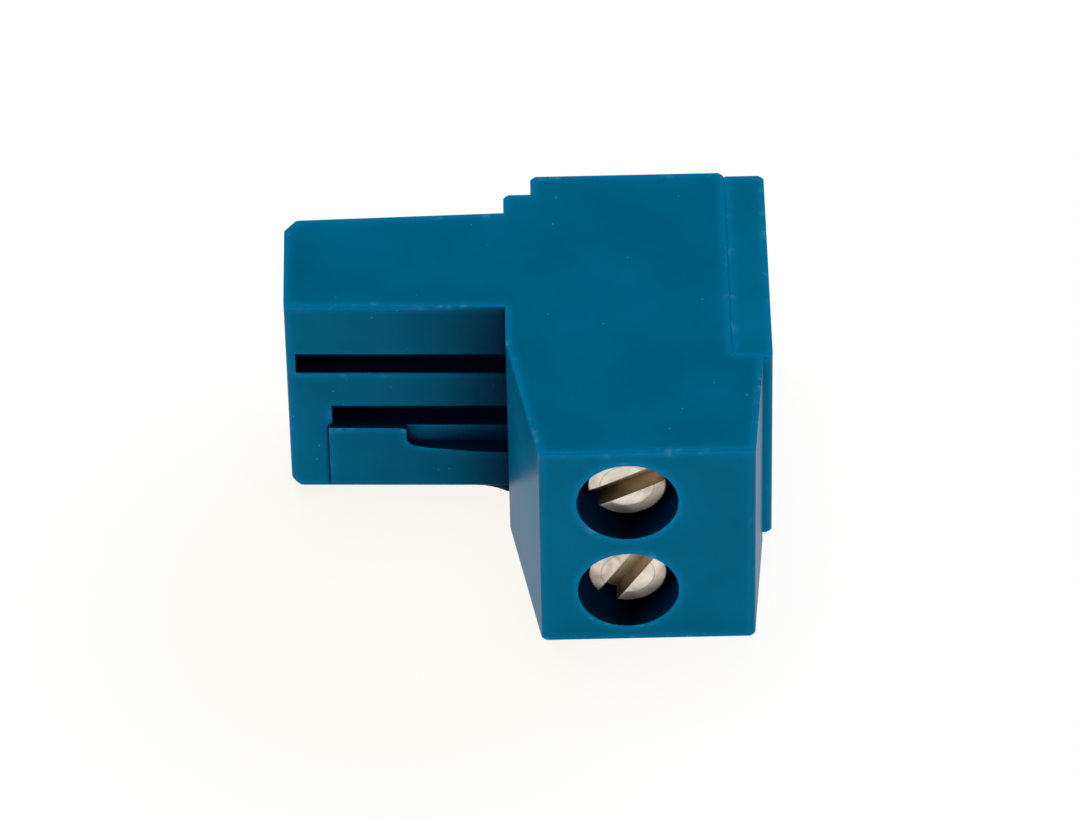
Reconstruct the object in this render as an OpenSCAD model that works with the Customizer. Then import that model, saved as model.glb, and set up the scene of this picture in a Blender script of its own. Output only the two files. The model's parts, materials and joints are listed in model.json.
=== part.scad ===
// Two-pole pluggable screw terminal: the half that holds the wires.
// Moulded housing, clip-on rear cover, and one socket contact, one rising
// clamp cage and one captive clamp screw for each pole.
//
// Drawing axes: X runs from the mating end to the wire entry, Y from the
// screw face to the back, Z along the row of poles. The part lies on the
// lower end wall of the housing.

/* [Row] */
// Distance between the two poles
pitch = 5.08; // [5:0.01:5.6]
// Housing beyond half a pitch, at each end of the row
end_margin = 0.32; // [0.26:0.01:0.8]

/* [Body] */
// Screw face to back face
body_d = 17; // [16.7:0.1:18]
// Start of the left taper, from the screw face
left_taper_d = 6.8; // [5:0.1:8]
// How far the left taper draws the screw face in
left_taper_in = 1.27; // [0.6:0.01:2]
// Width of the screw face along X
face_w = 8.91; // [8:0.01:9]
// Depth of the wall beside the screws that overhangs the rear cover
nose_d = 5.8; // [4:0.1:6.2]
// How far that wall leans out from the screw face
nose_out = 0.52; // [0.2:0.01:0.7]
// Left wall to the seat of the rear cover
seat_in = 9.38; // [9.2:0.01:10]
// Step in the back face, along X
back_step_w = 1.16; // [0.5:0.01:2]
// Step in the back face, along Y
back_step_d = 1.12; // [0.5:0.01:1.5]
// Radius on the outside corners
corner_r = 0.25; // [0.1:0.01:0.4]

/* [Plug] */
// Length of the plug-in part
plug_l = 9.27; // [8.5:0.01:11]
// Screw face to the front of the plug-in part, at its root
plug_front = 8.93; // [8.7:0.01:9.2]
// Thickness of the plug-in part at its root
plug_t = 5.83; // [5.4:0.01:6.6]
// Draft of the front wall over the plug's length
front_draft = 0.3; // [0:0.01:0.4]
// Draft of the back wall over the plug's length
back_draft = 0.2; // [0:0.01:0.3]
// How far the plug's lower end stands back from the body's
lower_relief = 0.42; // [0.1:0.01:0.45]
// Radius that blends the relief into the body
relief_r = 2.5; // [1:0.1:4]
// Bevel of the mating end's back edge, along X
tip_bevel_l = 0.5; // [0.1:0.01:0.7]
// Bevel of the mating end's back edge, along Y
tip_bevel_d = 0.65; // [0.1:0.01:0.8]
// Bevel of the mating end's lower corner
lower_bevel = 0.4; // [0.1:0.01:0.6]

/* [Keying] */
// Height of the two keying slots
slot_h = 0.78; // [0.5:0.01:0.9]
// Depth of the keying slots
slot_d = 1; // [0.5:0.05:1.1]
// Bevel on the upper lip of each slot
slot_lip = 0.32; // [0.1:0.01:0.4]
// Upper end to the centre of the first slot
slot_1_down = 3.42; // [3:0.01:3.7]
// Closed end of the first slot, from the mating end
slot_1_start = 0.4; // [0.3:0.01:2]
// Upper end to the centre of the second slot
slot_2_down = 6.42; // [6.1:0.01:6.6]
// Closed end of the second slot, from the mating end
slot_2_start = 1.85; // [0.6:0.01:3]
// Start of the raised key, from the mating end
key_start = 1.68; // [0.8:0.01:3]
// Height of the flat stretch of the key
key_rise = 0.22; // [0.1:0.01:0.4]
// Start of the key's ramp, from the mating end
ramp_start = 4.63; // [4:0.01:5.5]
// Height of the key where it meets the body
ramp_rise = 0.7; // [0.5:0.01:1.1]
// Top of the ramp above the lower end
ramp_top = 3.04; // [2.5:0.01:3.3]
// How far the key's upper edge runs past the ramp's start before it steps down
key_step = 0.35; // [0:0.01:0.8]

/* [Clamp screw] */
// Screw axis from the body's left wall
screw_in = 4.89; // [4.7:0.01:5]
// Screwdriver shaft
shaft_dia = 4.22; // [3.8:0.01:4.3]
// Screw head below the screw face
head_recess = 1; // [0.4:0.05:1.4]
// Head diameter
head_dia = 3.28; // [3.1:0.01:3.6]
// Head height
head_h = 1.7; // [1.4:0.05:2]
// Width of the driver slot
driver_w = 0.9; // [0.6:0.05:1]
// Depth of the driver slot
driver_d = 0.85; // [0.5:0.05:1]
// Angle of the lower screw's slot
slot_angle_1 = 57; // [0:1:180]
// Angle of the upper screw's slot
slot_angle_2 = 27; // [0:1:180]
// Outer diameter of the thread
thread_dia = 2.5; // [2.3:0.01:2.6]
// Rise of the thread in one turn
thread_pitch = 0.45; // [0.4:0.01:0.46]
// Turns from open to closed
turns = 6; // [4:0.5:6]

/* [Clamp cage] */
// Length along the wire
cage_l = 4.7; // [4:0.05:4.8]
// Width across the wire
cage_w = 4.2; // [4:0.01:4.3]
// Thickness of the tapped wall
cage_top = 1.5; // [1.2:0.05:1.6]
// Thickness of the wall that lifts the wire
cage_floor = 0.9; // [0.6:0.05:1]
// Thickness of each side wall
cage_side = 0.65; // [0.5:0.01:0.7]
// Space for the wire under the current bar when open
wire_space = 2.8; // [2.75:0.05:2.9]

/* [Contact] */
// Screw face to the top of the current bar
bar_depth = 10.9; // [10.8:0.05:11]
// Thickness of the contact strip
strip_t = 0.4; // [0.3:0.01:0.42]
// Thickness of the contact springs
spring_t = 0.34; // [0.25:0.01:0.4]
// Width of the current bar
bar_w = 2.5; // [2:0.05:2.6]
// Length of the contact springs
spring_l = 4.9; // [4:0.05:5.2]
// Height of the contact springs
spring_h = 2; // [1.6:0.05:2.1]
// How far each spring's root stands off the header pin
spring_bow = 0.72; // [0.5:0.01:0.75]
// Length of the base that joins the two springs
spring_base_l = 3; // [2:0.05:3.5]
// How far the springs' base runs into the body
spring_base_in = 0.3; // [0:0.05:0.6]
// From the springs' base to the folded end of the current bar
fold_in = 0.4; // [0.2:0.05:0.6]
// How far the current bar runs into the rear cover
bar_tail = 0.6; // [0.4:0.05:0.8]
// Thickness of the header pin
pin_t = 1; // [0.8:0.05:1.1]
// Opening of the socket for the header pin
pin_opening = 1.5; // [1.3:0.05:1.7]

/* [Rear cover] */
// Thickness of the cover
cover_t = 1.71; // [1.4:0.01:2]
// How far the cover stands back from the housing's ends
cover_inset = 0.3; // [0.1:0.01:0.4]
// How far the cover's back stands proud of the housing
cover_proud = 0.1; // [0:0.01:0.3]
// Mouth of the wire funnel
funnel_dia = 4.3; // [3.6:0.05:4.4]
// Length of the wire funnel
funnel_l = 1.3; // [1:0.05:1.35]
// Neck of the wire funnel
neck_dia = 2.4; // [2:0.05:2.5]
// Wall between the neck and the end of the current bar
neck_wall = 0.2; // [0.1:0.01:0.3]
// Thickness of the cover's tongues
tongue_t = 0.7; // [0.5:0.05:0.9]
// Width of the cover's tongues
tongue_w = 2.2; // [1.6:0.05:3]
// From the front of the cover to its tongues
tongue_in = 1.5; // [1:0.05:1.8]
// Length of the cover's tongues
tongue_l = 1.6; // [1.2:0.05:1.8]
// Height of the barb that holds each tongue
barb = 0.2; // [0.1:0.01:0.25]

/* [Fits] */
// Gap between a sliding cage and its chamber, each side
cage_gap = 0.08; // [0.05:0.01:0.1]
// Radial gap round the screw's thread in its guide and in the cage
thread_gap = 0.06; // [0.04:0.01:0.09]
// Gap round the contact and the cover's tongues in the housing
seat_gap = 0.05; // [0.03:0.01:0.08]
// Gap between a screw's end faces and what they bear on
end_gap = 0.04; // [0.02:0.01:0.08]

/* [Hidden] */
POLES = [0, 1];
$fn = 64;
CORNER_STEPS = 5;
CUT = 1;                     // how far a cutter runs past the face it opens
LAP = 0.25;                  // how far a cut or a rib runs into what it meets
EPS = 0.01;                  // how far joined solids run into each other

row_w = len(POLES) * pitch + 2 * end_margin;
body_x = plug_l;
face_x = body_x + left_taper_in;
face_end_x = face_x + face_w;
nose_x = face_end_x + nose_out;
seat_x = body_x + seat_in;
total_l = seat_x + cover_t;
total_d = body_d + cover_proud;
step_x = body_x + back_step_w;
step_y = body_d - back_step_d;

plug_back = plug_front + plug_t;
front_angle = atan(front_draft / plug_l);
tip_front = plug_front + front_draft;
tip_back = plug_back - back_draft;

screw_x = body_x + screw_in;
head_base = head_recess + head_h;
thread_r = thread_dia / 2;
tapped_r = thread_r + thread_gap;
travel = turns * thread_pitch;

bar_t = 2 * strip_t;
bar_under = bar_depth + bar_t;
window_y = bar_depth - cage_gap;
window_h = cage_gap + bar_t + wire_space;
cage_y = window_y - cage_top;
cage_h = cage_top + window_h + cage_floor;
cage_x = screw_x - cage_l / 2;
chamber_x = cage_x - cage_gap;
chamber_end_x = cage_x + cage_l + cage_gap;
chamber_y = cage_y - travel - cage_gap;
chamber_back = cage_y + cage_h + cage_gap;
chamber_w = cage_w + 2 * cage_gap;

spring_base_x = body_x + spring_base_in;
spring_root_x = spring_base_x - spring_base_l;
spring_tip_x = spring_root_x - spring_l;
spring_out = pin_t / 2 + spring_bow;
pin_y = bar_depth + spring_h / 2;
bar_end_x = chamber_end_x + cage_gap + bar_tail;
bay_x = spring_tip_x - 2 * seat_gap;
bay_half = spring_out + spring_t + 2 * seat_gap;
bay_back = bar_depth + spring_h + 2 * seat_gap;

wire_y = bar_under + seat_gap + neck_wall + neck_dia / 2;
tongue_y = nose_d + tongue_in;

// ---------------------------------------------------------------- helpers

function pole_z(i) = end_margin + pitch * (i + 0.5);

function unit(v) = v / norm(v);

// Points of the arc that rounds corner b between neighbours a and c.
function corner(a, b, c, r) =
    let (u = unit(a - b), v = unit(c - b))
    let (half = acos(u * v) / 2)
    let (centre = b + unit(u + v) * r / sin(half))
    let (from = b + u * r / tan(half) - centre)
    let (to = b + v * r / tan(half) - centre)
    let (a0 = atan2(from.y, from.x), a1 = atan2(to.y, to.x))
    let (sweep = (a1 - a0 + 540) % 360 - 180)
    [for (k = [0:CORNER_STEPS])
        let (t = a0 + sweep * k / CORNER_STEPS)
        centre + r * [cos(t), sin(t)]];

// Outline of [x, y, radius] corners with each corner rounded.
function rounded(p) =
    let (n = len(p))
    [for (i = [0:n - 1])
        let (a = p[(i + n - 1) % n], b = p[i], c = p[(i + 1) % n])
        each b[2] > 0
            ? corner([a.x, a.y], [b.x, b.y], [c.x, c.y], b[2])
            : [[b.x, b.y]]];

// From drawing axes to the part's own frame, centred over its footprint.
module in_frame() {
    translate([-total_l / 2, -total_d / 2, 0])
        children();
}

// Extrude an outline drawn in X and Z along Y, from y0 to y1.
module along_y(y0, y1) {
    translate([0, y1, 0])
        rotate([90, 0, 0])
            linear_extrude(y1 - y0)
                children();
}

// Extrude an outline drawn in Y and Z along X, from x0 to x1.
module along_x(x0, x1) {
    translate([x0, 0, 0])
        rotate([90, 0, 90])
            linear_extrude(x1 - x0)
                children();
}

module box(from, to) {
    translate(from)
        cube(to - from);
}

// Cylinder along Y from y0 to y1.
module bore_y(x, z, r, y0, y1) {
    translate([x, y1, z])
        rotate([90, 0, 0])
            cylinder(h = y1 - y0, r = r);
}

// ---------------------------------------------------------------- housing

function body_outline() = rounded([
    [body_x, left_taper_d, 0],
    [face_x, 0, corner_r],
    [face_end_x, 0, corner_r],
    [nose_x, nose_d, corner_r / 2],
    [seat_x, nose_d, 0],
    [seat_x, body_d, corner_r],
    [step_x, body_d, corner_r],
    [step_x, step_y, corner_r / 2],
    [body_x, step_y, corner_r]]);

function plug_outline() =
    let (buried = body_x + back_step_w)
    rounded([
    [0, tip_front, corner_r],
    [body_x, plug_front, 0],
    [buried, plug_front, 0],
    [buried, plug_back, 0],
    [body_x, plug_back, 0],
    [tip_bevel_l, tip_back, corner_r],
    [0, tip_back - tip_bevel_d, corner_r]]);

// Space under the plug's lower end, with the blend up to the body.
module lower_relief_cut() {
    blend_l = sqrt(2 * relief_r * lower_relief - lower_relief * lower_relief);
    blend_x = body_x - EPS - blend_l;
    along_y(0, body_d)
        difference() {
            translate([-CUT, -CUT])
                square([body_x + CUT, lower_relief + CUT]);
            difference() {
                translate([blend_x, -2 * CUT])
                    square([blend_l + 2 * CUT, lower_relief + 3 * CUT]);
                translate([blend_x, lower_relief - relief_r])
                    circle(relief_r);
            }
        }
}

// Bevel of the lower corner of the mating end.
module lower_tip_cut() {
    reach = lower_relief + lower_bevel + CUT;
    along_y(0, body_d)
        polygon([[-CUT, -CUT], [reach, -CUT], [-CUT, reach]]);
}

// Local axes of the drafted front wall: X along it, Y into the plug.
module on_plug_front() {
    translate([0, tip_front, 0])
        rotate([0, 0, -front_angle])
            children();
}

module keying_slot(down, start) {
    z0 = row_w - down - slot_h / 2;
    z1 = z0 + slot_h;
    on_plug_front()
        along_x(start, body_x + LAP)
            polygon([[-CUT, z0], [slot_d, z0], [slot_d, z1],
                     [slot_lip, z1], [-CUT, z1 + slot_lip + CUT]]);
}

// Raised key: a flat pad that rises along a quarter wave to the body.
function key_height(x) =
    let (t = max(0, (x - ramp_start) / (body_x - ramp_start)))
    key_rise + (ramp_rise - key_rise) * sin(90 * min(1, t));

module raised_key() {
    pad_top = row_w - slot_2_down - slot_h / 2;
    inner_x = ramp_start + key_step;
    root_x = body_x + LAP;
    inner_r = 0.45;
    outer_r = 0.1;
    steps = 12;
    out = 2 * ramp_rise;
    run = [for (k = [0:steps]) ramp_start + (body_x - ramp_start) * k / steps];
    on_plug_front()
        difference() {
            intersection() {
                linear_extrude(row_w)
                    polygon([[key_start, CUT / 2],
                             [key_start, -key_rise],
                             for (x = run) [x, -key_height(x)],
                             [root_x, -ramp_rise],
                             [root_x, CUT / 2]]);
                along_y(-out, CUT)
                    polygon(rounded([
                        [key_start, lower_relief, 0],
                        [root_x, lower_relief, 0],
                        [root_x, ramp_top, 0],
                        [inner_x, ramp_top, inner_r],
                        [inner_x, pad_top, outer_r],
                        [key_start, pad_top, 0]]));
            }
            along_x(0, body_x + CUT)
                polygon([[0, lower_relief], [-out, lower_relief], [-out, lower_relief + out]]);
        }
}

// Bay for the contact's springs, open to the cage chamber behind it.
module contact_bay(z) {
    box([bay_x, bar_depth - seat_gap, z - bay_half],
        [chamber_x + LAP, bay_back, z + bay_half]);
}

// Square mouth for the header pin, with a four-sided lead-in.
module pin_mouth(z) {
    half = pin_opening / 2;
    lead = 0.45;
    wide = half + 2 * lead;
    box([-CUT, pin_y - half, z - half], [bay_x + LAP, pin_y + half, z + half]);
    intersection() {
        translate([0, 0, z - wide])
            linear_extrude(2 * wide)
                polygon([[-lead, pin_y - wide], [-lead, pin_y + wide],
                         [lead, pin_y + half], [lead, pin_y - half]]);
        along_y(pin_y - wide, pin_y + wide)
            polygon([[-lead, z - wide], [-lead, z + wide],
                     [lead, z + half], [lead, z - half]]);
    }
}

// Screwdriver shaft, shelf under the head, guide bore and cage chamber.
module clamp_bay(z) {
    bore_y(screw_x, z, shaft_dia / 2, -CUT, head_base + end_gap);
    bore_y(screw_x, z, tapped_r, head_base, chamber_y + LAP);
    box([chamber_x, chamber_y, z - chamber_w / 2],
        [chamber_end_x, chamber_back, z + chamber_w / 2]);
    box([chamber_x, cage_y - cage_gap, z - chamber_w / 2],
        [seat_x + CUT, chamber_back, z + chamber_w / 2]);
}

// Tongue of the rear cover, or its slot in the housing with a gap all round.
module cover_tongue(z, gap) {
    half = tongue_w / 2 + gap;
    tip_x = seat_x - tongue_l;
    translate([0, 0, z - half])
        linear_extrude(2 * half)
            polygon([[seat_x + EPS, tongue_y - gap],
                     [tip_x + 3 * barb, tongue_y - gap],
                     [tip_x + 2 * barb - gap, tongue_y - barb - gap],
                     [tip_x - gap, tongue_y - gap],
                     [tip_x - gap, tongue_y + tongue_t + gap],
                     [seat_x + EPS, tongue_y + tongue_t + gap]]);
}

module housing() {
    color("#00618f")
        in_frame()
            difference() {
                union() {
                    linear_extrude(row_w)
                        polygon(body_outline());
                    difference() {
                        linear_extrude(row_w)
                            polygon(plug_outline());
                        lower_relief_cut();
                        lower_tip_cut();
                        keying_slot(slot_1_down, slot_1_start);
                        keying_slot(slot_2_down, slot_2_start);
                    }
                    raised_key();
                }
                for (i = POLES) {
                    clamp_bay(pole_z(i));
                    contact_bay(pole_z(i));
                    pin_mouth(pole_z(i));
                    cover_tongue(pole_z(i), seat_gap);
                }
            }
}

// ------------------------------------------------------------- rear cover

// Block that fills the chamber's mouth and keeps cage and contact in.
module spigot(z) {
    half = chamber_w / 2 - seat_gap;
    box([chamber_end_x + cage_gap, cage_y - cage_gap + seat_gap, z - half],
        [seat_x + EPS, chamber_back - seat_gap, z + half]);
}

// Wire funnel and neck, and the notch that holds the end of the bar.
module wire_entry(z) {
    funnel_slope = (funnel_dia - neck_dia) / 2 / funnel_l;
    notch_half = bar_w / 2 + seat_gap;
    translate([0, wire_y, z])
        rotate([0, 90, 0]) {
            translate([0, 0, chamber_end_x])
                cylinder(h = total_l - chamber_end_x, r = neck_dia / 2);
            translate([0, 0, total_l - funnel_l])
                cylinder(h = funnel_l + EPS, r1 = neck_dia / 2,
                         r2 = funnel_dia / 2 + EPS * funnel_slope);
        }
    box([chamber_end_x, bar_depth - seat_gap, z - notch_half],
        [bar_end_x + seat_gap, bar_under + seat_gap, z + notch_half]);
}

module rear_cover() {
    color("#006a98")
        in_frame()
            difference() {
                union() {
                    translate([0, 0, cover_inset])
                        linear_extrude(row_w - 2 * cover_inset)
                            polygon(rounded([
                                [seat_x, nose_d + seat_gap, 0],
                                [total_l, nose_d + seat_gap, corner_r],
                                [total_l, total_d, corner_r],
                                [seat_x, total_d, corner_r / 2]]));
                    for (i = POLES) {
                        spigot(pole_z(i));
                        cover_tongue(pole_z(i), 0);
                    }
                }
                for (i = POLES)
                    wire_entry(pole_z(i));
            }
}

// ---------------------------------------------------------------- contact

// Half gap between the springs at a distance s in front of their root:
// they close along a half wave to the pinch, then flare to the mouth.
function spring_gap(s) =
    let (pinch_s = spring_l * 0.72, pinch = pin_t / 2 - 0.08, flare = 0.45)
    s < pinch_s
        ? pinch + (spring_out - pinch) * (1 + cos(180 * s / pinch_s)) / 2
        : pinch + flare * (1 - cos(90 * (s - pinch_s) / (spring_l - pinch_s)));

// One spring leaf, drawn in X and Z with its inner face towards the pin.
module spring_leaf() {
    steps = 20;
    run = [for (k = [0:steps]) spring_l * k / steps];
    back = [for (k = [steps:-1:0]) run[k]];
    along_y(bar_depth, bar_depth + spring_h)
        polygon([[spring_base_x, spring_out],
                 for (s = run) [spring_root_x - s, spring_gap(s)],
                 for (s = back) [spring_root_x - s, spring_gap(s) + spring_t],
                 [spring_base_x, spring_out + spring_t]]);
}

// Socket contact: base strip with a spring leaf on each side, and the
// current bar, which is the strip folded double.
module contact(i) {
    half_w = spring_out + spring_t;
    fold_r = strip_t * 0.9;
    fold_x = spring_base_x + fold_in;
    lap_x = spring_base_x - strip_t;
    color("#b9a98a")
        in_frame()
            translate([0, 0, pole_z(i)])
                union() {
                    spring_leaf();
                    mirror([0, 0, 1])
                        spring_leaf();
                    box([spring_root_x, bar_depth, -half_w],
                        [spring_base_x, bar_depth + strip_t, half_w]);
                    translate([0, 0, -bar_w / 2])
                        linear_extrude(bar_w)
                            polygon(rounded([
                                [lap_x, bar_depth, 0],
                                [bar_end_x, bar_depth, fold_r],
                                [bar_end_x, bar_under, fold_r],
                                [fold_x, bar_under, fold_r],
                                [fold_x, bar_depth + strip_t, 0],
                                [lap_x, bar_depth + strip_t, 0]]));
                }
}

// ------------------------------------------------------------- clamp cage

// Closed frame round the current bar: tapped wall towards the screw's head,
// and a floor with cross teeth that lifts the wire against the bar.
module cage(i) {
    outer_r = 0.45;
    inner_r = 0.3;
    top_r = 0.1;
    teeth = 4;
    tooth_w = cage_l / (2 * teeth + 1);
    tooth_d = tooth_w * 0.45;
    tooth_half = cage_w / 2 - cage_side - inner_r;
    half = cage_w / 2;
    floor_y = window_y + window_h;
    color("#c9c4b8")
        in_frame()
            translate([0, 0, pole_z(i)])
                difference() {
                    along_x(cage_x, cage_x + cage_l)
                        polygon(rounded([
                            [cage_y, -half, outer_r],
                            [cage_y + cage_h, -half, outer_r],
                            [cage_y + cage_h, half, outer_r],
                            [cage_y, half, outer_r]]));
                    along_x(cage_x - CUT, cage_x + cage_l + CUT)
                        polygon(rounded([
                            [window_y, -half + cage_side, top_r],
                            [floor_y, -half + cage_side, inner_r],
                            [floor_y, half - cage_side, inner_r],
                            [window_y, half - cage_side, top_r]]));
                    bore_y(screw_x, 0, tapped_r, cage_y - CUT, window_y + LAP);
                    for (k = [0:teeth - 1])
                        translate([cage_x + tooth_w * (2 * k + 1), floor_y, 0])
                            linear_extrude(2 * tooth_half, center = true)
                                polygon([[0, -LAP], [0, 0], [tooth_w / 2, tooth_d],
                                         [tooth_w, 0], [tooth_w, -LAP]]);
                }
}

// ------------------------------------------------------------ clamp screw

// Turned profile, radius against depth: domed rim, shank and blunt point.
function screw_profile() =
    let (rim = 0.32, edge = 0.15, point = 0.4, steps = 6)
    let (head_r = head_dia / 2, tip = bar_depth - end_gap)
    [[0, head_recess],
     for (k = [0:steps])
        let (t = 90 * k / steps)
        [head_r - rim + rim * sin(t), head_recess + rim - rim * cos(t)],
     [head_r, head_base - edge],
     [head_r - edge, head_base],
     [thread_r, head_base],
     [thread_r, tip - point],
     [thread_r - point, tip],
     [0, tip]];

module screw(i, slot_angle) {
    color("#d8d2c4")
        in_frame()
            translate([screw_x, 0, pole_z(i)])
                difference() {
                    rotate([-90, 0, 0])
                        rotate_extrude()
                            polygon(screw_profile());
                    rotate([0, -slot_angle, 0])
                        box([-head_dia, head_recess - CUT, -driver_w / 2],
                            [head_dia, head_recess + driver_d, driver_w / 2]);
                }
}

module contact_1() { contact(0); }
module contact_2() { contact(1); }
module cage_1() { cage(0); }
module cage_2() { cage(1); }
module screw_1() { screw(0, slot_angle_1); }
module screw_2() { screw(1, slot_angle_2); }

housing();
rear_cover();
contact_1();
contact_2();
cage_1();
cage_2();
screw_1();
screw_2();
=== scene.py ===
"""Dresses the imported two-pole pluggable screw terminal: plastic mouldings with rounded edges,
stamped contacts and cages, slotted clamp screws with real threads, and a pale table top.
Units are metres. The part lies on z = 0, with its screw face towards -Y."""
import json
import math

import bmesh
import bpy
import numpy as np
from mathutils import Matrix, Vector


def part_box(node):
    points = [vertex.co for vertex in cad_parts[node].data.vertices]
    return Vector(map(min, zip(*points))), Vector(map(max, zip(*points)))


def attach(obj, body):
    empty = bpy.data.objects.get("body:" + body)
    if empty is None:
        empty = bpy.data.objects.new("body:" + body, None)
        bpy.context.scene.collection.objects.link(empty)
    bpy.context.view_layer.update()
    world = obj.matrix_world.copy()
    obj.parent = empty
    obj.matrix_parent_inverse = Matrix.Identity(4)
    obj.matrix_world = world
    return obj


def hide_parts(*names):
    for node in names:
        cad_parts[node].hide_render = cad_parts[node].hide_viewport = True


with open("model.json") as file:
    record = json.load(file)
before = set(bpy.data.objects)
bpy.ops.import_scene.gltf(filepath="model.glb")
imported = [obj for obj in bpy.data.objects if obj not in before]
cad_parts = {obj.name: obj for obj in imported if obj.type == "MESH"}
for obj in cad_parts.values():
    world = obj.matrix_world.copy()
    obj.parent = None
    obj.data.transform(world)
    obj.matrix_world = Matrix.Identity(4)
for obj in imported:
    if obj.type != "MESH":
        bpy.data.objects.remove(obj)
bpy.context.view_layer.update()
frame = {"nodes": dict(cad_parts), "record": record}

MM = 0.001
TAU = 2 * math.pi
POLES = ("1", "2")

# -------------------------------------------------------- sizes of the edges
MOULDED_EDGE = 0.07 * MM         # radius of the edges of the mouldings
MOULDED_STEPS = 3                # faces across such an edge
STAMPED_EDGE = 0.04 * MM         # radius of the edges of the contacts and cages
STAMPED_STEPS = 2
ROUNDED_FROM = math.radians(35)  # an edge gets rounded where its faces meet at more than this
FLAT_BELOW = math.radians(0.6)   # triangles that meet at less than this are one flat face
SMOOTH_BELOW = math.radians(38)  # bevelled faces that meet at less than this are shaded as one
RIM_TURN = (math.radians(1), math.radians(12))   # turn from one edge of a round rim to the next
ROOM_SHARE = 0.42                # part of the room beside an edge that its rounding may take
SAME_POINT = 2e-7                # CAD points that lie this close are one
SLIVER = 1e-7                    # what is narrower than this has no width
# Boxes in mm, as (low, high) corners, where a node's edges are too close for any rounding:
# the bevel along the plug's lower end, the curved step in the key, and the seam between the
# housing and the cover at the upper end, on both sides of it.
SHARP_BOXES = {"housing": [((-9.9, 0.3, 0.3), (-0.9, 0.75, 0.75)),
                           ((-5.45, -1.0, 2.9), (-4.6, 1.0, 4.2)),
                           ((8.4, -2.9, 10.7), (8.6, 8.3, 10.9))],
               "rear_cover": [((8.4, -2.9, 10.4), (8.7, 8.6, 10.6))]}

# ------------------------------------------------------- sizes of the screws
HEAD_H = 1.7 * MM
LAND_R = 1.12 * MM               # radius of the flat middle of the head
HEAD_FALL = 0.035 * MM           # from the flat middle down to the rim
HEAD_RIM = 0.07 * MM             # radius of the head's upper rim
HEAD_CHAMFER = 0.15 * MM         # on the head's lower rim
DRIVER_SLOT = 0.9 * MM
SLOT_DEPTH = 0.85 * MM
SLOT_LIP = 0.05 * MM             # radius of the slot's edges
SLOT_ANGLES = {"screw_1": 57, "screw_2": 27}   # degrees from +X towards -Z
SHANK_R = 1.25 * MM
TIP_R = 0.85 * MM
TIP_CHAMFER = 0.4 * MM
THREAD_PITCH = 0.45 * MM
THREAD_DEPTH = 0.24 * MM
THREAD_START = 0.5 * MM          # length over which the thread grows below the head
THREAD_END = 0.15 * MM           # length over which it fades at the tip
THREAD_LEFT = 0.2                # part of its depth that is left there
FLANK, ROOT = 1.35, 0.15         # slope of a tooth's flanks, and how much is cut off its root
ROWS_PER_TURN = 10               # points of the screws' grids: along the thread,
ROWS_TO_MIDDLE = 25              # from the head's rim to its middle,
LIP_ROWS = 4                     # over a slot's edge, and over half of its floor,
COLUMNS = 49                     # and along the slot
SEAM = 1e-8                      # points of two grids that lie this close are one
SCREW_CREASE = math.radians(32)  # a screw's faces that meet at less than this are shaded as one


# --------------------------------------------------------------- shader nodes
def feed(value, target):
    """Gives an input its value: a link if the value is another node's output, else as it is."""
    if isinstance(value, bpy.types.NodeSocket):
        target.id_data.links.new(value, target)
    else:
        target.default_value = value


def node(tree, kind, inputs=None, **settings):
    """A new node with its settings, and with its inputs that are given by name or number."""
    made = tree.nodes.new(kind)
    for key, value in settings.items():
        setattr(made, key, value)
    for key, value in (inputs or {}).items():
        feed(value, made.inputs[key])
    return made


def math_node(tree, operation, *values, clamp=False):
    """A Math node on values or other nodes' outputs; returns its output."""
    made = node(tree, "ShaderNodeMath", dict(enumerate(values)), operation=operation,
                use_clamp=clamp)
    return made.outputs[0]


def steep(tree, value, gain, offset):
    """A value times a gain plus an offset, kept between 0 and 1."""
    return math_node(tree, "MULTIPLY_ADD", value, gain, offset, clamp=True)


def noise(tree, place, scale, detail, distortion=0.0):
    """Noise between 0 and 1 over a position, with a scale in waves per metre."""
    made = node(tree, "ShaderNodeTexNoise", {"Vector": place, "Scale": scale, "Detail": detail,
                                             "Distortion": distortion})
    return made.outputs["Fac"]


def spread(tree, value, start=0.0, end=1.0, low=0.0, high=1.0, kind="LINEAR"):
    """A value that goes from low to high while the given one goes from start to end."""
    made = node(tree, "ShaderNodeMapRange", {"Value": value, "From Min": start, "From Max": end,
                                             "To Min": low, "To Max": high},
                interpolation_type=kind)
    return made.outputs["Result"]


def mix(tree, factor, first, second):
    """A mix of two colours, which is the first where the factor is 0."""
    made = node(tree, "ShaderNodeMix", {"Factor": factor, "A": first, "B": second},
                data_type="RGBA")
    return made.outputs["Result"]


def opaque(colour, gain=1.0):
    """A linear red, green and blue times a gain, with full cover."""
    return (*[gain * part for part in colour], 1)


def new_group(name, inputs, outputs):
    """A node group with inputs for numbers, and with outputs of a kind each. Returns the group,
    the sockets that give its inputs, and the sockets that take its outputs."""
    group = bpy.data.node_groups.new(name, "ShaderNodeTree")
    for title in inputs:
        group.interface.new_socket(name=title, in_out="INPUT", socket_type="NodeSocketFloat")
    for title, kind in outputs.items():
        group.interface.new_socket(name=title, in_out="OUTPUT", socket_type="NodeSocket" + kind)
    given = node(group, "NodeGroupInput").outputs
    put = node(group, "NodeGroupOutput").inputs
    return group, given, put


def new_material(name):
    """A material, its node tree and the inputs of its Principled shader."""
    material = bpy.data.materials.new(name)
    material.use_nodes = True
    tree = material.node_tree
    return material, tree, tree.nodes["Principled BSDF"].inputs


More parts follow.
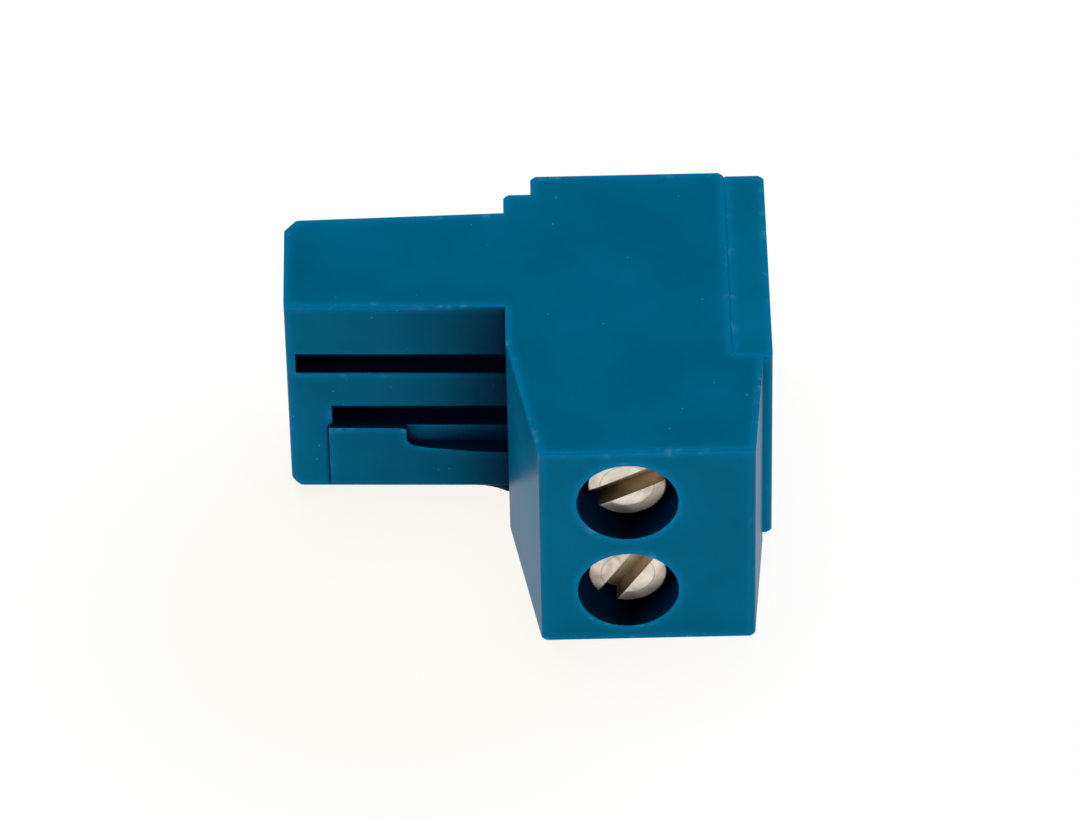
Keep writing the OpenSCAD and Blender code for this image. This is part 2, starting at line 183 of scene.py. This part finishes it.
def arrange(tree):
    """Lays a tree out in the editor, in columns by the most links from a node to the last one."""
    column = {one.name: 0 for one in tree.nodes}
    for _ in tree.nodes:
        for link in tree.links:
            further = column[link.to_node.name] + 1
            column[link.from_node.name] = max(column[link.from_node.name], further)
    filled = [0] * len(column)
    for one in tree.nodes:
        away = column[one.name]
        one.location = (-220 * away, -320 * filled[away])
        filled[away] += 1


# -------------------------------------------------------------------- plastic
GRAIN_SCALE = 9000.0             # of the spark-eroded grain, in waves per metre
GRAIN_DEPTH = 0.01 * MM
DARK_DRIFT, LIGHT_DRIFT = 0.73, 1.27   # the body colour is times these at the drift's ends
EDGE_HIGHLIGHT_WIDTH = 0.8 * MM            # how far the painted edge highlight reaches in from an edge
EDGE_HIGHLIGHT_GAIN = 5.0                  # how fast the painted highlight grows as an edge turns away
SOFT_EDGE = 0.06 * MM            # radius of a rounding that is only shaded
HOLLOW_SHADE_REACH = 6 * MM            # how far round a place its walls count for the painted shade in its hollow
HOLLOW_SHADE_FROM, HOLLOW_SHADE_TO = 0.94, 0.46   # share of open sky where the painted shade starts and is full
# painted shade: the near-black blue that the hollows are painted towards
PAINTED_HOLLOW_SHADE = (0.0, 0.012, 0.042)
SPECK_SCALE = 1400.0             # of the cells that may hold a dust speck, in cells per metre
SPECK_SIZE = 0.055               # in cells
SPECK_FROM = 0.6                 # grey of a cell's colour from which it holds one
DUST_COLOUR = (0.06, 0.27, 0.42)
DUST_COVER = 0.6
PLASTIC_ROUGHNESS = (0.26, 0.36)
PLASTIC_GRAIN = 0.35
PLASTIC_IOR = 1.45
PLASTIC_SPECULAR = 0.025


def moulded_surface():
    """Group: grain, slow drift, and masks of the edges (for a painted highlight), dust specks,
    hollows (for painted shade) and scuffs of a moulding, with the normal of its slightly rounded
    edges."""
    group, given, put = new_group(
        "moulded surface", ("Grain Scale", "Edge Radius"),
        {"Grain": "Float", "Drift": "Float", "Edge": "Float", "Specks": "Float",
         "Hollow Shade": "Float", "Scuffs": "Float", "Round": "Vector"})
    place = node(group, "ShaderNodeTexCoord").outputs["Object"]
    feed(noise(group, place, given["Grain Scale"], detail=2), put["Grain"])
    feed(noise(group, place, scale=260, detail=4), put["Drift"])

    # An edge is where the normal of a wide rounding turns away from the face's own. This mask
    # paints a highlight along the edges, and places the scuffs.
    wide = node(group, "ShaderNodeBevel", {"Radius": given["Edge Radius"]}, samples=6)
    flat = node(group, "ShaderNodeNewGeometry").outputs["True Normal"]
    along = node(group, "ShaderNodeVectorMath", {0: wide.outputs["Normal"], 1: flat},
                 operation="DOT_PRODUCT")
    turned = math_node(group, "SUBTRACT", 1.0, along.outputs["Value"], clamp=True)
    edge = math_node(group, "MULTIPLY", turned, EDGE_HIGHLIGHT_GAIN, clamp=True)
    feed(edge, put["Edge"])

    # Scuffs are the peaks of a noise, close to an edge.
    worn = steep(group, noise(group, place, scale=1500, detail=3), gain=9.0, offset=-5.2)
    rim = steep(group, edge, gain=2.0, offset=-0.8)
    feed(math_node(group, "MULTIPLY", worn, rim), put["Scuffs"])

    soft = node(group, "ShaderNodeBevel", {"Radius": SOFT_EDGE}, samples=4)
    feed(soft.outputs["Normal"], put["Round"])

    # Painted shade: the less open sky a place sees among the part's own walls, the darker its
    # colour is painted.
    sky = node(group, "ShaderNodeAmbientOcclusion", {"Distance": HOLLOW_SHADE_REACH}, samples=8,
               only_local=True)
    feed(spread(group, sky.outputs["AO"], HOLLOW_SHADE_FROM, HOLLOW_SHADE_TO, kind="SMOOTHSTEP"),
         put["Hollow Shade"])

    # A speck is the middle of a Voronoi cell, in the cells with a bright colour.
    cells = node(group, "ShaderNodeTexVoronoi", {"Vector": place, "Scale": SPECK_SCALE})
    near = math_node(group, "LESS_THAN", cells.outputs["Distance"], SPECK_SIZE)
    chosen = math_node(group, "GREATER_THAN", cells.outputs["Color"], SPECK_FROM)
    feed(math_node(group, "MULTIPLY", near, chosen), put["Specks"])
    arrange(group)
    return group


def plastic(name, body, light, groups):
    """Moulded polyamide: a body colour that drifts slowly, a highlight painted along the edges,
    pale specks and scuffs, shade painted into the hollows, grain in the normal, and a roughness
    that follows the drift."""
    material, tree, shader = new_material(name)
    surface = node(tree, "ShaderNodeGroup", node_tree=groups["moulded"])
    feed(GRAIN_SCALE, surface.inputs["Grain Scale"])
    feed(EDGE_HIGHLIGHT_WIDTH, surface.inputs["Edge Radius"])
    masks = surface.outputs

    drift = mix(tree, masks["Drift"], opaque(body, DARK_DRIFT), opaque(body, LIGHT_DRIFT))
    # Painted highlight: the colour goes towards the lighter one along the edges, where a rounding
    # would catch the light.
    highlighted = mix(tree, masks["Edge"], drift, opaque(light))
    marks = math_node(tree, "MAXIMUM", masks["Specks"], masks["Scuffs"])
    dusty = mix(tree, math_node(tree, "MULTIPLY", marks, DUST_COVER), highlighted,
                opaque(DUST_COLOUR))
    # Painted shade in the hollows: the colour goes towards a near-black blue where little sky is
    # seen.
    feed(mix(tree, masks["Hollow Shade"], dusty, opaque(PAINTED_HOLLOW_SHADE)), shader["Base Color"])

    smooth, rough = PLASTIC_ROUGHNESS
    feed(spread(tree, masks["Drift"], low=smooth, high=rough), shader["Roughness"])
    bump = node(tree, "ShaderNodeBump", {"Strength": PLASTIC_GRAIN, "Distance": GRAIN_DEPTH,
                                         "Height": masks["Grain"], "Normal": masks["Round"]})
    feed(bump.outputs["Normal"], shader["Normal"])
    feed(PLASTIC_IOR, shader["IOR"])
    feed(PLASTIC_SPECULAR, shader["Specular IOR Level"])
    arrange(tree)
    return material


# ---------------------------------------------------------------------- metal
MARK_SCALE = 4000.0              # of the fine marks in the plating, in waves per metre
MARK_DEPTH = 0.02 * MM
METAL_MARKS = 0.1                # strength of the marks in the normal
TARNISH_ROUGHER = 0.35           # added to the roughness under full tarnish
DEPTH_GAIN = 18.0                # of the depth mask, full at an eighteenth of a screw's length
RING_AT, RING_HALF = 0.683, 0.013   # middle and half width of the painted shade line along the head's crease, in head radii
FACE_DEPTH = 0.004               # what counts as the head's face, in lengths of the screw
SLOT_SHADE_FROM, SLOT_SHADE_TO = 0.3 * MM, -1 * MM   # painted shade towards the slot's -X end: where it starts and is full, from a screw's axis along X
SLOT_SHADE_COLOUR = (0.05, 0.042, 0.016)
SLOT_SHADE_COVER = 0.85
SLOT_BRIGHT, SLOT_DULL = (0.98, 0.78, 0.54), (0.58, 0.46, 0.28)
SLOT_METALLIC = 0.45
# painted shade: colour and cover of the dark line along the crease round the head's flat middle
CREASE_SHADE_COLOUR = (0.30, 0.22, 0.17)
CREASE_SHADE_COVER = 0.55


def plated_metal():
    """Group: plating marks and tarnish of a small plated part. Where the UV map holds radius and
    depth, also a mask of the depth below the face and one of a thin line along the crease where
    the head's flat middle ends, for painted shade. A mask of painted shade grows from 0 to 1
    towards the left of the line x = Slot Middle."""
    group, given, put = new_group(
        "plated metal", ("Mark Scale", "Slot Middle"),
        {"Slot Shade": "Float", "Marks": "Float", "Tarnish": "Float", "Depth": "Float",
         "Crease Shade": "Float"})
    place = node(group, "ShaderNodeTexCoord").outputs
    feed(noise(group, place["Object"], given["Mark Scale"], detail=5), put["Marks"])
    patches = noise(group, place["Object"], scale=900, detail=6, distortion=0.6)
    feed(steep(group, patches, gain=2.6, offset=-0.9), put["Tarnish"])

    head = node(group, "ShaderNodeSeparateXYZ", {0: place["UV"]}).outputs
    feed(math_node(group, "MULTIPLY", head["Y"], DEPTH_GAIN, clamp=True), put["Depth"])
    off_ring = math_node(group, "ABSOLUTE", math_node(group, "SUBTRACT", head["X"], RING_AT))
    on_ring = math_node(group, "LESS_THAN", off_ring, RING_HALF)
    on_face = math_node(group, "LESS_THAN", head["Y"], FACE_DEPTH)
    feed(math_node(group, "MULTIPLY", on_ring, on_face), put["Crease Shade"])

    across = node(group, "ShaderNodeSeparateXYZ", {0: place["Object"]}).outputs["X"]
    from_axis = math_node(group, "SUBTRACT", across, given["Slot Middle"])
    feed(spread(group, from_axis, SLOT_SHADE_FROM, SLOT_SHADE_TO, kind="SMOOTHSTEP"), put["Slot Shade"])
    arrange(group)
    return group


def metal(name, bright, dull, roughness, groups):
    """Plated metal: bright plating with duller, rougher patches and fine marks in the normal; tan
    and rougher down a screw's slot, with painted shade darkening it towards -X, and a line of
    painted shade along the crease round the flat of its head."""
    material, tree, shader = new_material(name)
    low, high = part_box("screw_1")   # the axes of both screws lie at the same x
    surface = node(tree, "ShaderNodeGroup", node_tree=groups["plated"])
    feed(MARK_SCALE, surface.inputs["Mark Scale"])
    feed((low.x + high.x) / 2, surface.inputs["Slot Middle"])
    masks = surface.outputs

    face = mix(tree, masks["Tarnish"], opaque(bright), opaque(dull))
    slot = mix(tree, masks["Tarnish"], opaque(SLOT_BRIGHT), opaque(SLOT_DULL))
    # Painted shade: the slot and what lies below the face go dark towards -X.
    slot_shaded = mix(tree, math_node(tree, "MULTIPLY", masks["Slot Shade"], SLOT_SHADE_COVER), slot,
                opaque(SLOT_SHADE_COLOUR))
    both = mix(tree, masks["Depth"], face, slot_shaded)
    # Painted shade: a dark line along the crease where the head's flat middle meets its fall.
    lined = mix(tree, math_node(tree, "MULTIPLY", masks["Crease Shade"], CREASE_SHADE_COVER), both,
                opaque(CREASE_SHADE_COLOUR))
    feed(lined, shader["Base Color"])

    dullest = math_node(tree, "MAXIMUM", masks["Tarnish"], masks["Depth"])
    feed(spread(tree, dullest, low=roughness, high=roughness + TARNISH_ROUGHER),
         shader["Roughness"])
    feed(spread(tree, masks["Depth"], low=1.0, high=SLOT_METALLIC), shader["Metallic"])
    bump = node(tree, "ShaderNodeBump", {"Strength": METAL_MARKS, "Distance": MARK_DEPTH,
                                         "Height": masks["Marks"]})
    feed(bump.outputs["Normal"], shader["Normal"])
    arrange(tree)
    return material


def make_materials():
    """The materials by their slot in the record. A plastic is given by the colour of its body and
    that of the highlight painted along its edges, and a metal by its bright and dull colours and
    its least roughness."""
    groups = {"moulded": moulded_surface(), "plated": plated_metal()}
    return {
        "housing_plastic": plastic("housing plastic", (0.0, 0.105, 0.203), (0.0, 0.16, 0.335),
                                   groups),
        "cover_plastic": plastic("cover plastic", (0.0, 0.124, 0.235), (0.0, 0.17, 0.345),
                                 groups),
        "screw_metal": metal("nickel plated screw", (0.88, 0.80, 0.71), (0.50, 0.42, 0.32),
                             0.27, groups),
        "cage_metal": metal("nickel plated cage", (0.74, 0.71, 0.66), (0.5, 0.46, 0.4),
                            0.25, groups),
        "contact_metal": metal("tin plated contact", (0.70, 0.66, 0.56), (0.5, 0.44, 0.34),
                               0.3, groups),
    }


# ----------------------------------------------------- mouldings and stampings
def weld(piece, distance):
    """Merges doubled points, drops faces without area and turns the faces outwards."""
    work = bmesh.new()
    work.from_mesh(piece.data)
    bmesh.ops.remove_doubles(work, verts=work.verts, dist=distance)
    bmesh.ops.dissolve_degenerate(work, edges=work.edges, dist=distance)
    bmesh.ops.recalc_face_normals(work, faces=work.faces)
    work.to_mesh(piece.data)
    work.free()


def free_width(face, edge):
    """Room in a flat face beside one of its edges: the shortest way across the face, square to
    the edge, from three places along it. It is a metre at most."""
    loop = next(one for one in face.loops if one.edge == edge)
    start = loop.vert.co
    along = loop.link_loop_next.vert.co - start
    length = along.length
    along.normalize()
    inward = face.normal.cross(along)
    corners = [(one.vert.co - start) for one in face.loops]
    flat = [(corner.dot(along), corner.dot(inward)) for corner in corners]
    room = 1.0
    for share in (0.1, 0.5, 0.9):
        for (s0, t0), (s1, t1) in zip(flat, flat[1:] + flat[:1]):
            s0, s1 = s0 - share * length, s1 - share * length
            if (s0 > 0) != (s1 > 0):
                across = t0 + (t1 - t0) * s0 / (s0 - s1)
                if across > SLIVER:
                    room = min(room, across)
    return room


def left_sharp(cad_node, edge):
    """True for an edge inside one of the boxes of a node where no rounding fits."""
    middle = (edge.verts[0].co + edge.verts[1].co) / 2
    return any(all(low[k] * MM < middle[k] < high[k] * MM for k in range(3))
               for low, high in SHARP_BOXES.get(cad_node, ()))


def on_curve(edge):
    """True for an edge of a round rim: the next edge at one of its ends turns by a small angle.
    The rounding would run wild along the seams of the flat face round a hole."""
    least, most = RIM_TURN
    for end in edge.verts:
        along = end.co - edge.other_vert(end).co
        for other in end.link_edges:
            if other != edge and other.calc_face_angle(0) > ROUNDED_FROM:
                turn = along.angle(other.other_vert(end).co - end.co)
                if least < turn < most:
                    return True
    return False


def corner_normals(mesh):
    """Corner normals of a bevelled mesh. At a corner the normals of the faces that meet it
    smoothly are added, each times its area. An original face (material 1) only adds original
    ones, so flats stay flat; a rounded face counts them a thousand times, so it runs into them."""
    weights = (1, 1000)   # of a rounded and of an original face
    work = bmesh.new()
    work.from_mesh(mesh)
    work.normal_update()
    normals = []
    for face in work.faces:
        for loop in face.loops:
            group = [face]
            for member in group:
                for edge in member.edges:
                    if loop.vert in edge.verts and edge.calc_face_angle(TAU) < SMOOTH_BELOW:
                        group += [one for one in edge.link_faces if one not in group
                                  and one.material_index >= face.material_index]
            total = Vector((0, 0, 0))
            for one in group:
                total += one.calc_area() * weights[one.material_index] * one.normal
            normals.append(total.normalized() if total.length > 0 else face.normal.copy())
    work.free()
    return normals


def flat_faced_mesh(cad_node, name, radius):
    """A copy of a CAD node's mesh with its triangles joined into flat faces, all of material 1.
    A convex edge has as its bevel weight the part of the radius that there is room for."""
    work = bmesh.new()
    work.from_mesh(frame["nodes"][cad_node].data)
    bmesh.ops.remove_doubles(work, verts=work.verts, dist=SAME_POINT)
    bmesh.ops.dissolve_limit(work, angle_limit=FLAT_BELOW, verts=work.verts, edges=work.edges)
    work.normal_update()
    weight = work.edges.layers.float.new("bevel_weight_edge")
    for face in work.faces:
        face.smooth = True
        face.material_index = 1
    for edge in work.edges:
        if (edge.is_convex and edge.calc_face_angle(0) > ROUNDED_FROM
                and not left_sharp(cad_node, edge) and not on_curve(edge)):
            room = min(free_width(face, edge) for face in edge.link_faces)
            edge[weight] = min(1, ROOM_SHARE * room / radius)
    mesh = bpy.data.meshes.new(name)
    work.to_mesh(mesh)
    work.free()
    if mesh.has_custom_normals:
        mesh.attributes.remove(mesh.attributes["custom_normal"])
    for _ in range(2):
        mesh.materials.append(None)
    return mesh


def rounded_copy(cad_node, name, radius, segments):
    """A copy of a CAD node with its convex edges rounded. The bevel gives the rounded faces
    material 0, which tells them from the original ones until the normals are worked out."""
    mesh = flat_faced_mesh(cad_node, name, radius)
    piece = bpy.data.objects.new(name, mesh)
    bpy.context.scene.collection.objects.link(piece)
    bevel = piece.modifiers.new("rounded edges", "BEVEL")
    bevel.width = radius
    bevel.segments = segments
    bevel.limit_method = "WEIGHT"
    bevel.use_clamp_overlap = False
    bevel.material = 0
    depsgraph = bpy.context.evaluated_depsgraph_get()
    depsgraph.update()
    rounded = bpy.data.meshes.new_from_object(piece.evaluated_get(depsgraph))
    piece.modifiers.clear()
    piece.data = rounded
    bpy.data.meshes.remove(mesh)
    rounded.name = name
    weld(piece, SLIVER)
    rounded.normals_split_custom_set(corner_normals(rounded))
    for polygon in rounded.polygons:
        polygon.material_index = 0
    return piece


# --------------------------------------------------------------------- screws
def grid_faces(rows, columns, start=0):
    """Corner numbers of the quads of a grid whose points are stored row by row."""
    number = start + np.arange(rows * columns).reshape(rows, columns)
    return np.stack([number[:-1, :-1], number[:-1, 1:], number[1:, 1:], number[1:, :-1]],
                    axis=-1).reshape(-1, 4)


def mirrored(half, sign=1):
    """An array and then its mirror image times a sign, with the item in the middle once."""
    return np.concatenate([half, sign * half[-2::-1]])


def screw_top(radius):
    """Top of a slotted head on a grid. Rows run along the slot, at y = radius sin(a); along a
    row x = half-chord sin(b), so points crowd towards the rim. The height is 0 out to the flat
    middle's radius, falls evenly by HEAD_FALL to the start of the rim, and ends in a quarter
    circle of radius HEAD_RIM. In the slot it is -SLOT_DEPTH, and the slot's edges are quarter
    circles of radius SLOT_LIP."""
    slot_half = DRIVER_SLOT / 2
    beside_lip = slot_half + 1.2 * SLOT_LIP
    quarter = np.linspace(0, math.pi / 2, LIP_ROWS)
    outside = radius * np.sin(np.linspace(-math.pi / 2, 0, ROWS_TO_MIDDLE))
    outside = outside[outside < -beside_lip]
    lip = -slot_half - SLOT_LIP + SLOT_LIP * np.sin(quarter)
    floor = np.linspace(-slot_half, 0, LIP_ROWS)
    rows = mirrored(np.concatenate([outside, lip, floor]), -1)
    lip_drop = mirrored(np.concatenate([0 * outside, SLOT_LIP - SLOT_LIP * np.cos(quarter),
                                        0 * floor]))
    in_slot = mirrored(np.concatenate([0 * outside, 0 * lip, np.ones(len(floor))])) > 0

    chord = np.sqrt(np.maximum(radius ** 2 - rows ** 2, 0))
    x = chord[:, None] * np.sin(np.linspace(-math.pi / 2, math.pi / 2, COLUMNS))[None, :]
    y = np.repeat(rows[:, None], x.shape[1], axis=1)
    out = np.minimum(np.hypot(x, y), radius)
    rim_start = radius - HEAD_RIM
    z = -HEAD_FALL * np.clip((out - LAND_R) / (rim_start - LAND_R), 0, 1)
    into_rim = np.maximum(out - rim_start, 0)
    z = z - (HEAD_RIM - np.sqrt(np.maximum(HEAD_RIM ** 2 - into_rim ** 2, 0)))
    z = np.where(in_slot[:, None], -SLOT_DEPTH, z - lip_drop[:, None])
    return np.stack([x, y, z], axis=-1)


def screw_side(rim, radius, length):
    """Side of a screw below its top's rim, on a grid whose rows go round. Under the head the
    radius is a helix: core + depth * tooth(z / pitch - angle / turn), where tooth is a blunt
    triangle wave, faded out towards the head and the tip. The last row is the tip's middle."""
    angle = np.arctan2(rim[:, 1], rim[:, 0])
    ring = np.stack([np.cos(angle), np.sin(angle)], axis=-1)

    def turned(row_radius, z):
        """One row: the ring times a radius, at a height."""
        return np.concatenate([ring * row_radius, np.full((len(ring), 1), z)], axis=1)

    head = np.array([rim, turned(radius, HEAD_CHAMFER - HEAD_H),
                     turned(radius - HEAD_CHAMFER, -HEAD_H)])
    start, end = -HEAD_H, TIP_CHAMFER - length
    heights = np.linspace(start, end, int((start - end) / THREAD_PITCH * ROWS_PER_TURN))
    phase = (heights[:, None] / THREAD_PITCH - angle[None, :] / TAU) % 1.0
    tooth = np.clip(FLANK * np.abs(2 * phase - 1) - ROOT, 0, 1)
    grown = np.clip((start - heights) / THREAD_START, 0, 1)
    left = np.clip((heights - end) / THREAD_END + THREAD_LEFT, 0, 1)
    shank = SHANK_R - THREAD_DEPTH * (1 - tooth) * (grown * left)[:, None]
    thread = np.concatenate([ring[None] * shank[:, :, None],
                             np.repeat(heights[:, None, None], len(ring), axis=1)], axis=-1)
    tip = np.array([turned(TIP_R, -length), turned(0, -length)])
    rows = np.concatenate([head, thread, tip])
    return np.concatenate([rows, rows[:, :1]], axis=1)


def clamp_screw(cad_node):
    """A slotted captive screw: its top and its side on two grids, turned to its slot's angle.
    Local z is 0 at the top of the head and negative towards the tip; it lies along -Y in the
    frame. The UV map holds the radius in head radii, and the depth in lengths of the screw."""
    low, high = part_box(cad_node)
    centre = (low + high) / 2
    head_r = (high.x - low.x) / 2
    length = high.y - low.y

    top = screw_top(head_r)
    side = screw_side(np.concatenate([top[:, -1], top[::-1, 0]]), head_r, length)
    x, y, z = np.concatenate([top.reshape(-1, 3), side.reshape(-1, 3)]).T
    faces = np.concatenate([grid_faces(*top.shape[:2]),
                            grid_faces(*side.shape[:2], start=top.shape[0] * top.shape[1])])
    turn = math.radians(SLOT_ANGLES[cad_node])
    across = x * math.cos(turn) - y * math.sin(turn)
    along = x * math.sin(turn) + y * math.cos(turn)
    placed = np.stack([centre.x + across, low.y - z, centre.z + along], axis=-1)

    mesh = bpy.data.meshes.new("clamp_" + cad_node)
    mesh.from_pydata(placed.tolist(), [], faces.tolist())
    radius_depth = np.stack([np.hypot(x, y) / head_r, -z / length], axis=-1)
    layer = mesh.uv_layers.new(name="radius and depth")
    layer.data.foreach_set("uv", radius_depth[faces].astype(np.float32).ravel())
    piece = bpy.data.objects.new("clamp_" + cad_node, mesh)
    bpy.context.scene.collection.objects.link(piece)
    weld(piece, SEAM)
    mesh.shade_smooth()
    mesh.set_sharp_from_angle(angle=SCREW_CREASE)
    return piece


# ------------------------------------------------------------------- assembly
def dress(piece, cad_node, material_slot, materials):
    """Gives a piece its material and body, and lets it stand for its CAD node."""
    body = next(name for name, members in frame["record"]["behaviour"]["bodies"].items()
                if cad_node in members)
    piece.data.materials.clear()
    piece.data.materials.append(materials[material_slot])
    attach(piece, body)
    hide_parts(cad_node)


def make_pieces(materials):
    """The eight pieces: two mouldings, and a contact, a cage and a screw for each pole."""
    for cad_node, name, material_slot in (("housing", "moulded_housing", "housing_plastic"),
                                          ("rear_cover", "moulded_cover", "cover_plastic")):
        dress(rounded_copy(cad_node, name, MOULDED_EDGE, MOULDED_STEPS), cad_node,
              material_slot, materials)
    for pole in POLES:
        for kind, name in (("contact_", "socket_contact_"), ("cage_", "clamp_cage_")):
            dress(rounded_copy(kind + pole, name + pole, STAMPED_EDGE, STAMPED_STEPS),
                  kind + pole, kind + "metal", materials)
        dress(clamp_screw("screw_" + pole), "screw_" + pole, "screw_metal", materials)


# ---------------------------------------------------------------------- stage
TABLE_COLOUR = (0.62, 0.59, 0.55)
TABLE_WHITE = 0.86               # share of plain white in the table where it is seen
TABLE_STRENGTH = 1.08            # of that white
# painted shade: a warm white close to the part, for the tone of its soft shadow on the table
SHADOW_WARM_WHITE = (0.985, 0.945, 0.90)
SHADOW_WARM_PLACE = (-6 * MM, -6 * MM, 0)
SHADOW_WARM_FROM, SHADOW_WARM_TO = 4 * MM, 18 * MM   # from that place, where the painted warm shadow tone fades
TABLE_SIZE = 4.0
TABLE_DROP = 0.005 * MM          # of the table below the part, whose lower faces lie at z = 0
WORLD_STRENGTH = 0.06


def table_material():
    """Pale table: diffuse for the light it throws back, mostly plain white where it is seen
    directly or in a reflection, so that only a light shadow shows on it. Close to the part a
    warmer white is painted in, as the warm tone of its soft shadow."""
    material, tree, _ = new_material("table")
    tree.nodes.clear()
    diffuse = node(tree, "ShaderNodeBsdfDiffuse", {"Color": opaque(TABLE_COLOUR)})
    place = node(tree, "ShaderNodeTexCoord").outputs["Object"]
    away = node(tree, "ShaderNodeVectorMath", {0: place, 1: SHADOW_WARM_PLACE}, operation="DISTANCE")
    far = spread(tree, away.outputs["Value"], SHADOW_WARM_FROM, SHADOW_WARM_TO, kind="SMOOTHSTEP")
    # Painted shade: the white is warmer close to the part.
    tone = mix(tree, far, opaque(SHADOW_WARM_WHITE), opaque((1, 1, 1)))
    white = node(tree, "ShaderNodeEmission", {"Strength": TABLE_STRENGTH, "Color": tone})
    share = math_node(tree, "MULTIPLY", seen_directly(tree), TABLE_WHITE)
    both = node(tree, "ShaderNodeMixShader", {"Fac": share, 1: diffuse.outputs[0],
                                              2: white.outputs[0]})
    node(tree, "ShaderNodeOutputMaterial", {"Surface": both.outputs[0]})
    arrange(tree)
    return material


def seen_directly(tree):
    """1 for a ray from the camera, or one mirrored or passed through to the surface."""
    path = node(tree, "ShaderNodeLightPath").outputs
    direct = math_node(tree, "ADD", path["Is Camera Ray"], path["Is Glossy Ray"], clamp=True)
    return math_node(tree, "ADD", direct, path["Is Transmission Ray"], clamp=True)


def lamp(name, place, target, size, watts):
    """A rectangular lamp that points at a target, and that is neither seen nor mirrored."""
    light = bpy.data.lights.new(name, "AREA")
    light.shape = "RECTANGLE"
    light.size, light.size_y = size
    light.energy = watts
    holder = bpy.data.objects.new(name, light)
    bpy.context.scene.collection.objects.link(holder)
    holder.visible_camera = holder.visible_glossy = False
    holder.location = place
    holder.rotation_euler = (Vector(target) - Vector(place)).to_track_quat("-Z", "Y").to_euler()


def make_stage():
    """The table, a dim white world and three lamps."""
    bpy.ops.mesh.primitive_plane_add(size=TABLE_SIZE, location=(0, 0, -TABLE_DROP))
    table = bpy.context.object
    table.name = "table"
    table.data.materials.append(table_material())

    world = bpy.data.worlds.new("studio")
    bpy.context.scene.world = world
    world.use_nodes = True
    background = world.node_tree.nodes["Background"].inputs
    feed(opaque((1, 1, 1)), background["Color"])
    feed(WORLD_STRENGTH, background["Strength"])

    lamp("overhead", place=(0.0, 0.08, 0.36), target=(0, 0, 0.004), size=(0.22, 0.22), watts=1.3)
    lamp("low front", place=(0.2, -0.28, 0.016), target=(0, 0, 0.006), size=(0.24, 0.03),
         watts=0.82)
    lamp("low left", place=(-0.3, -0.1, 0.04), target=(0, 0, 0.005), size=(0.2, 0.05), watts=0.62)


def make_camera():
    """A long lens that looks down on the screw face. Its pitch, yaw and roll are in degrees."""
    lens = bpy.data.cameras.new("camera")
    lens.sensor_width = 36
    lens.lens = 266.67
    lens.clip_start = 0.01
    lens.clip_end = 20
    camera = bpy.data.objects.new("camera", lens)
    bpy.context.scene.collection.objects.link(camera)
    pitch, yaw, roll = (math.radians(turn) for turn in (-43.7, 0.048, -1.205))
    ahead = Vector((math.sin(yaw) * math.cos(pitch), math.cos(yaw) * math.cos(pitch),
                    math.sin(pitch)))
    level = Vector((math.cos(yaw), -math.sin(yaw), 0))
    upright = level.cross(ahead)
    right = math.cos(roll) * level + math.sin(roll) * upright
    up = -math.sin(roll) * level + math.cos(roll) * upright
    axes = Matrix((right, up, -ahead)).transposed().to_4x4()
    camera.matrix_world = Matrix.Translation((0.000258, -0.244228, 0.238586)) @ axes
    bpy.context.scene.camera = camera


make_camera()
make_pieces(make_materials())
make_stage()
bpy.context.scene.view_settings.view_transform = "Standard"
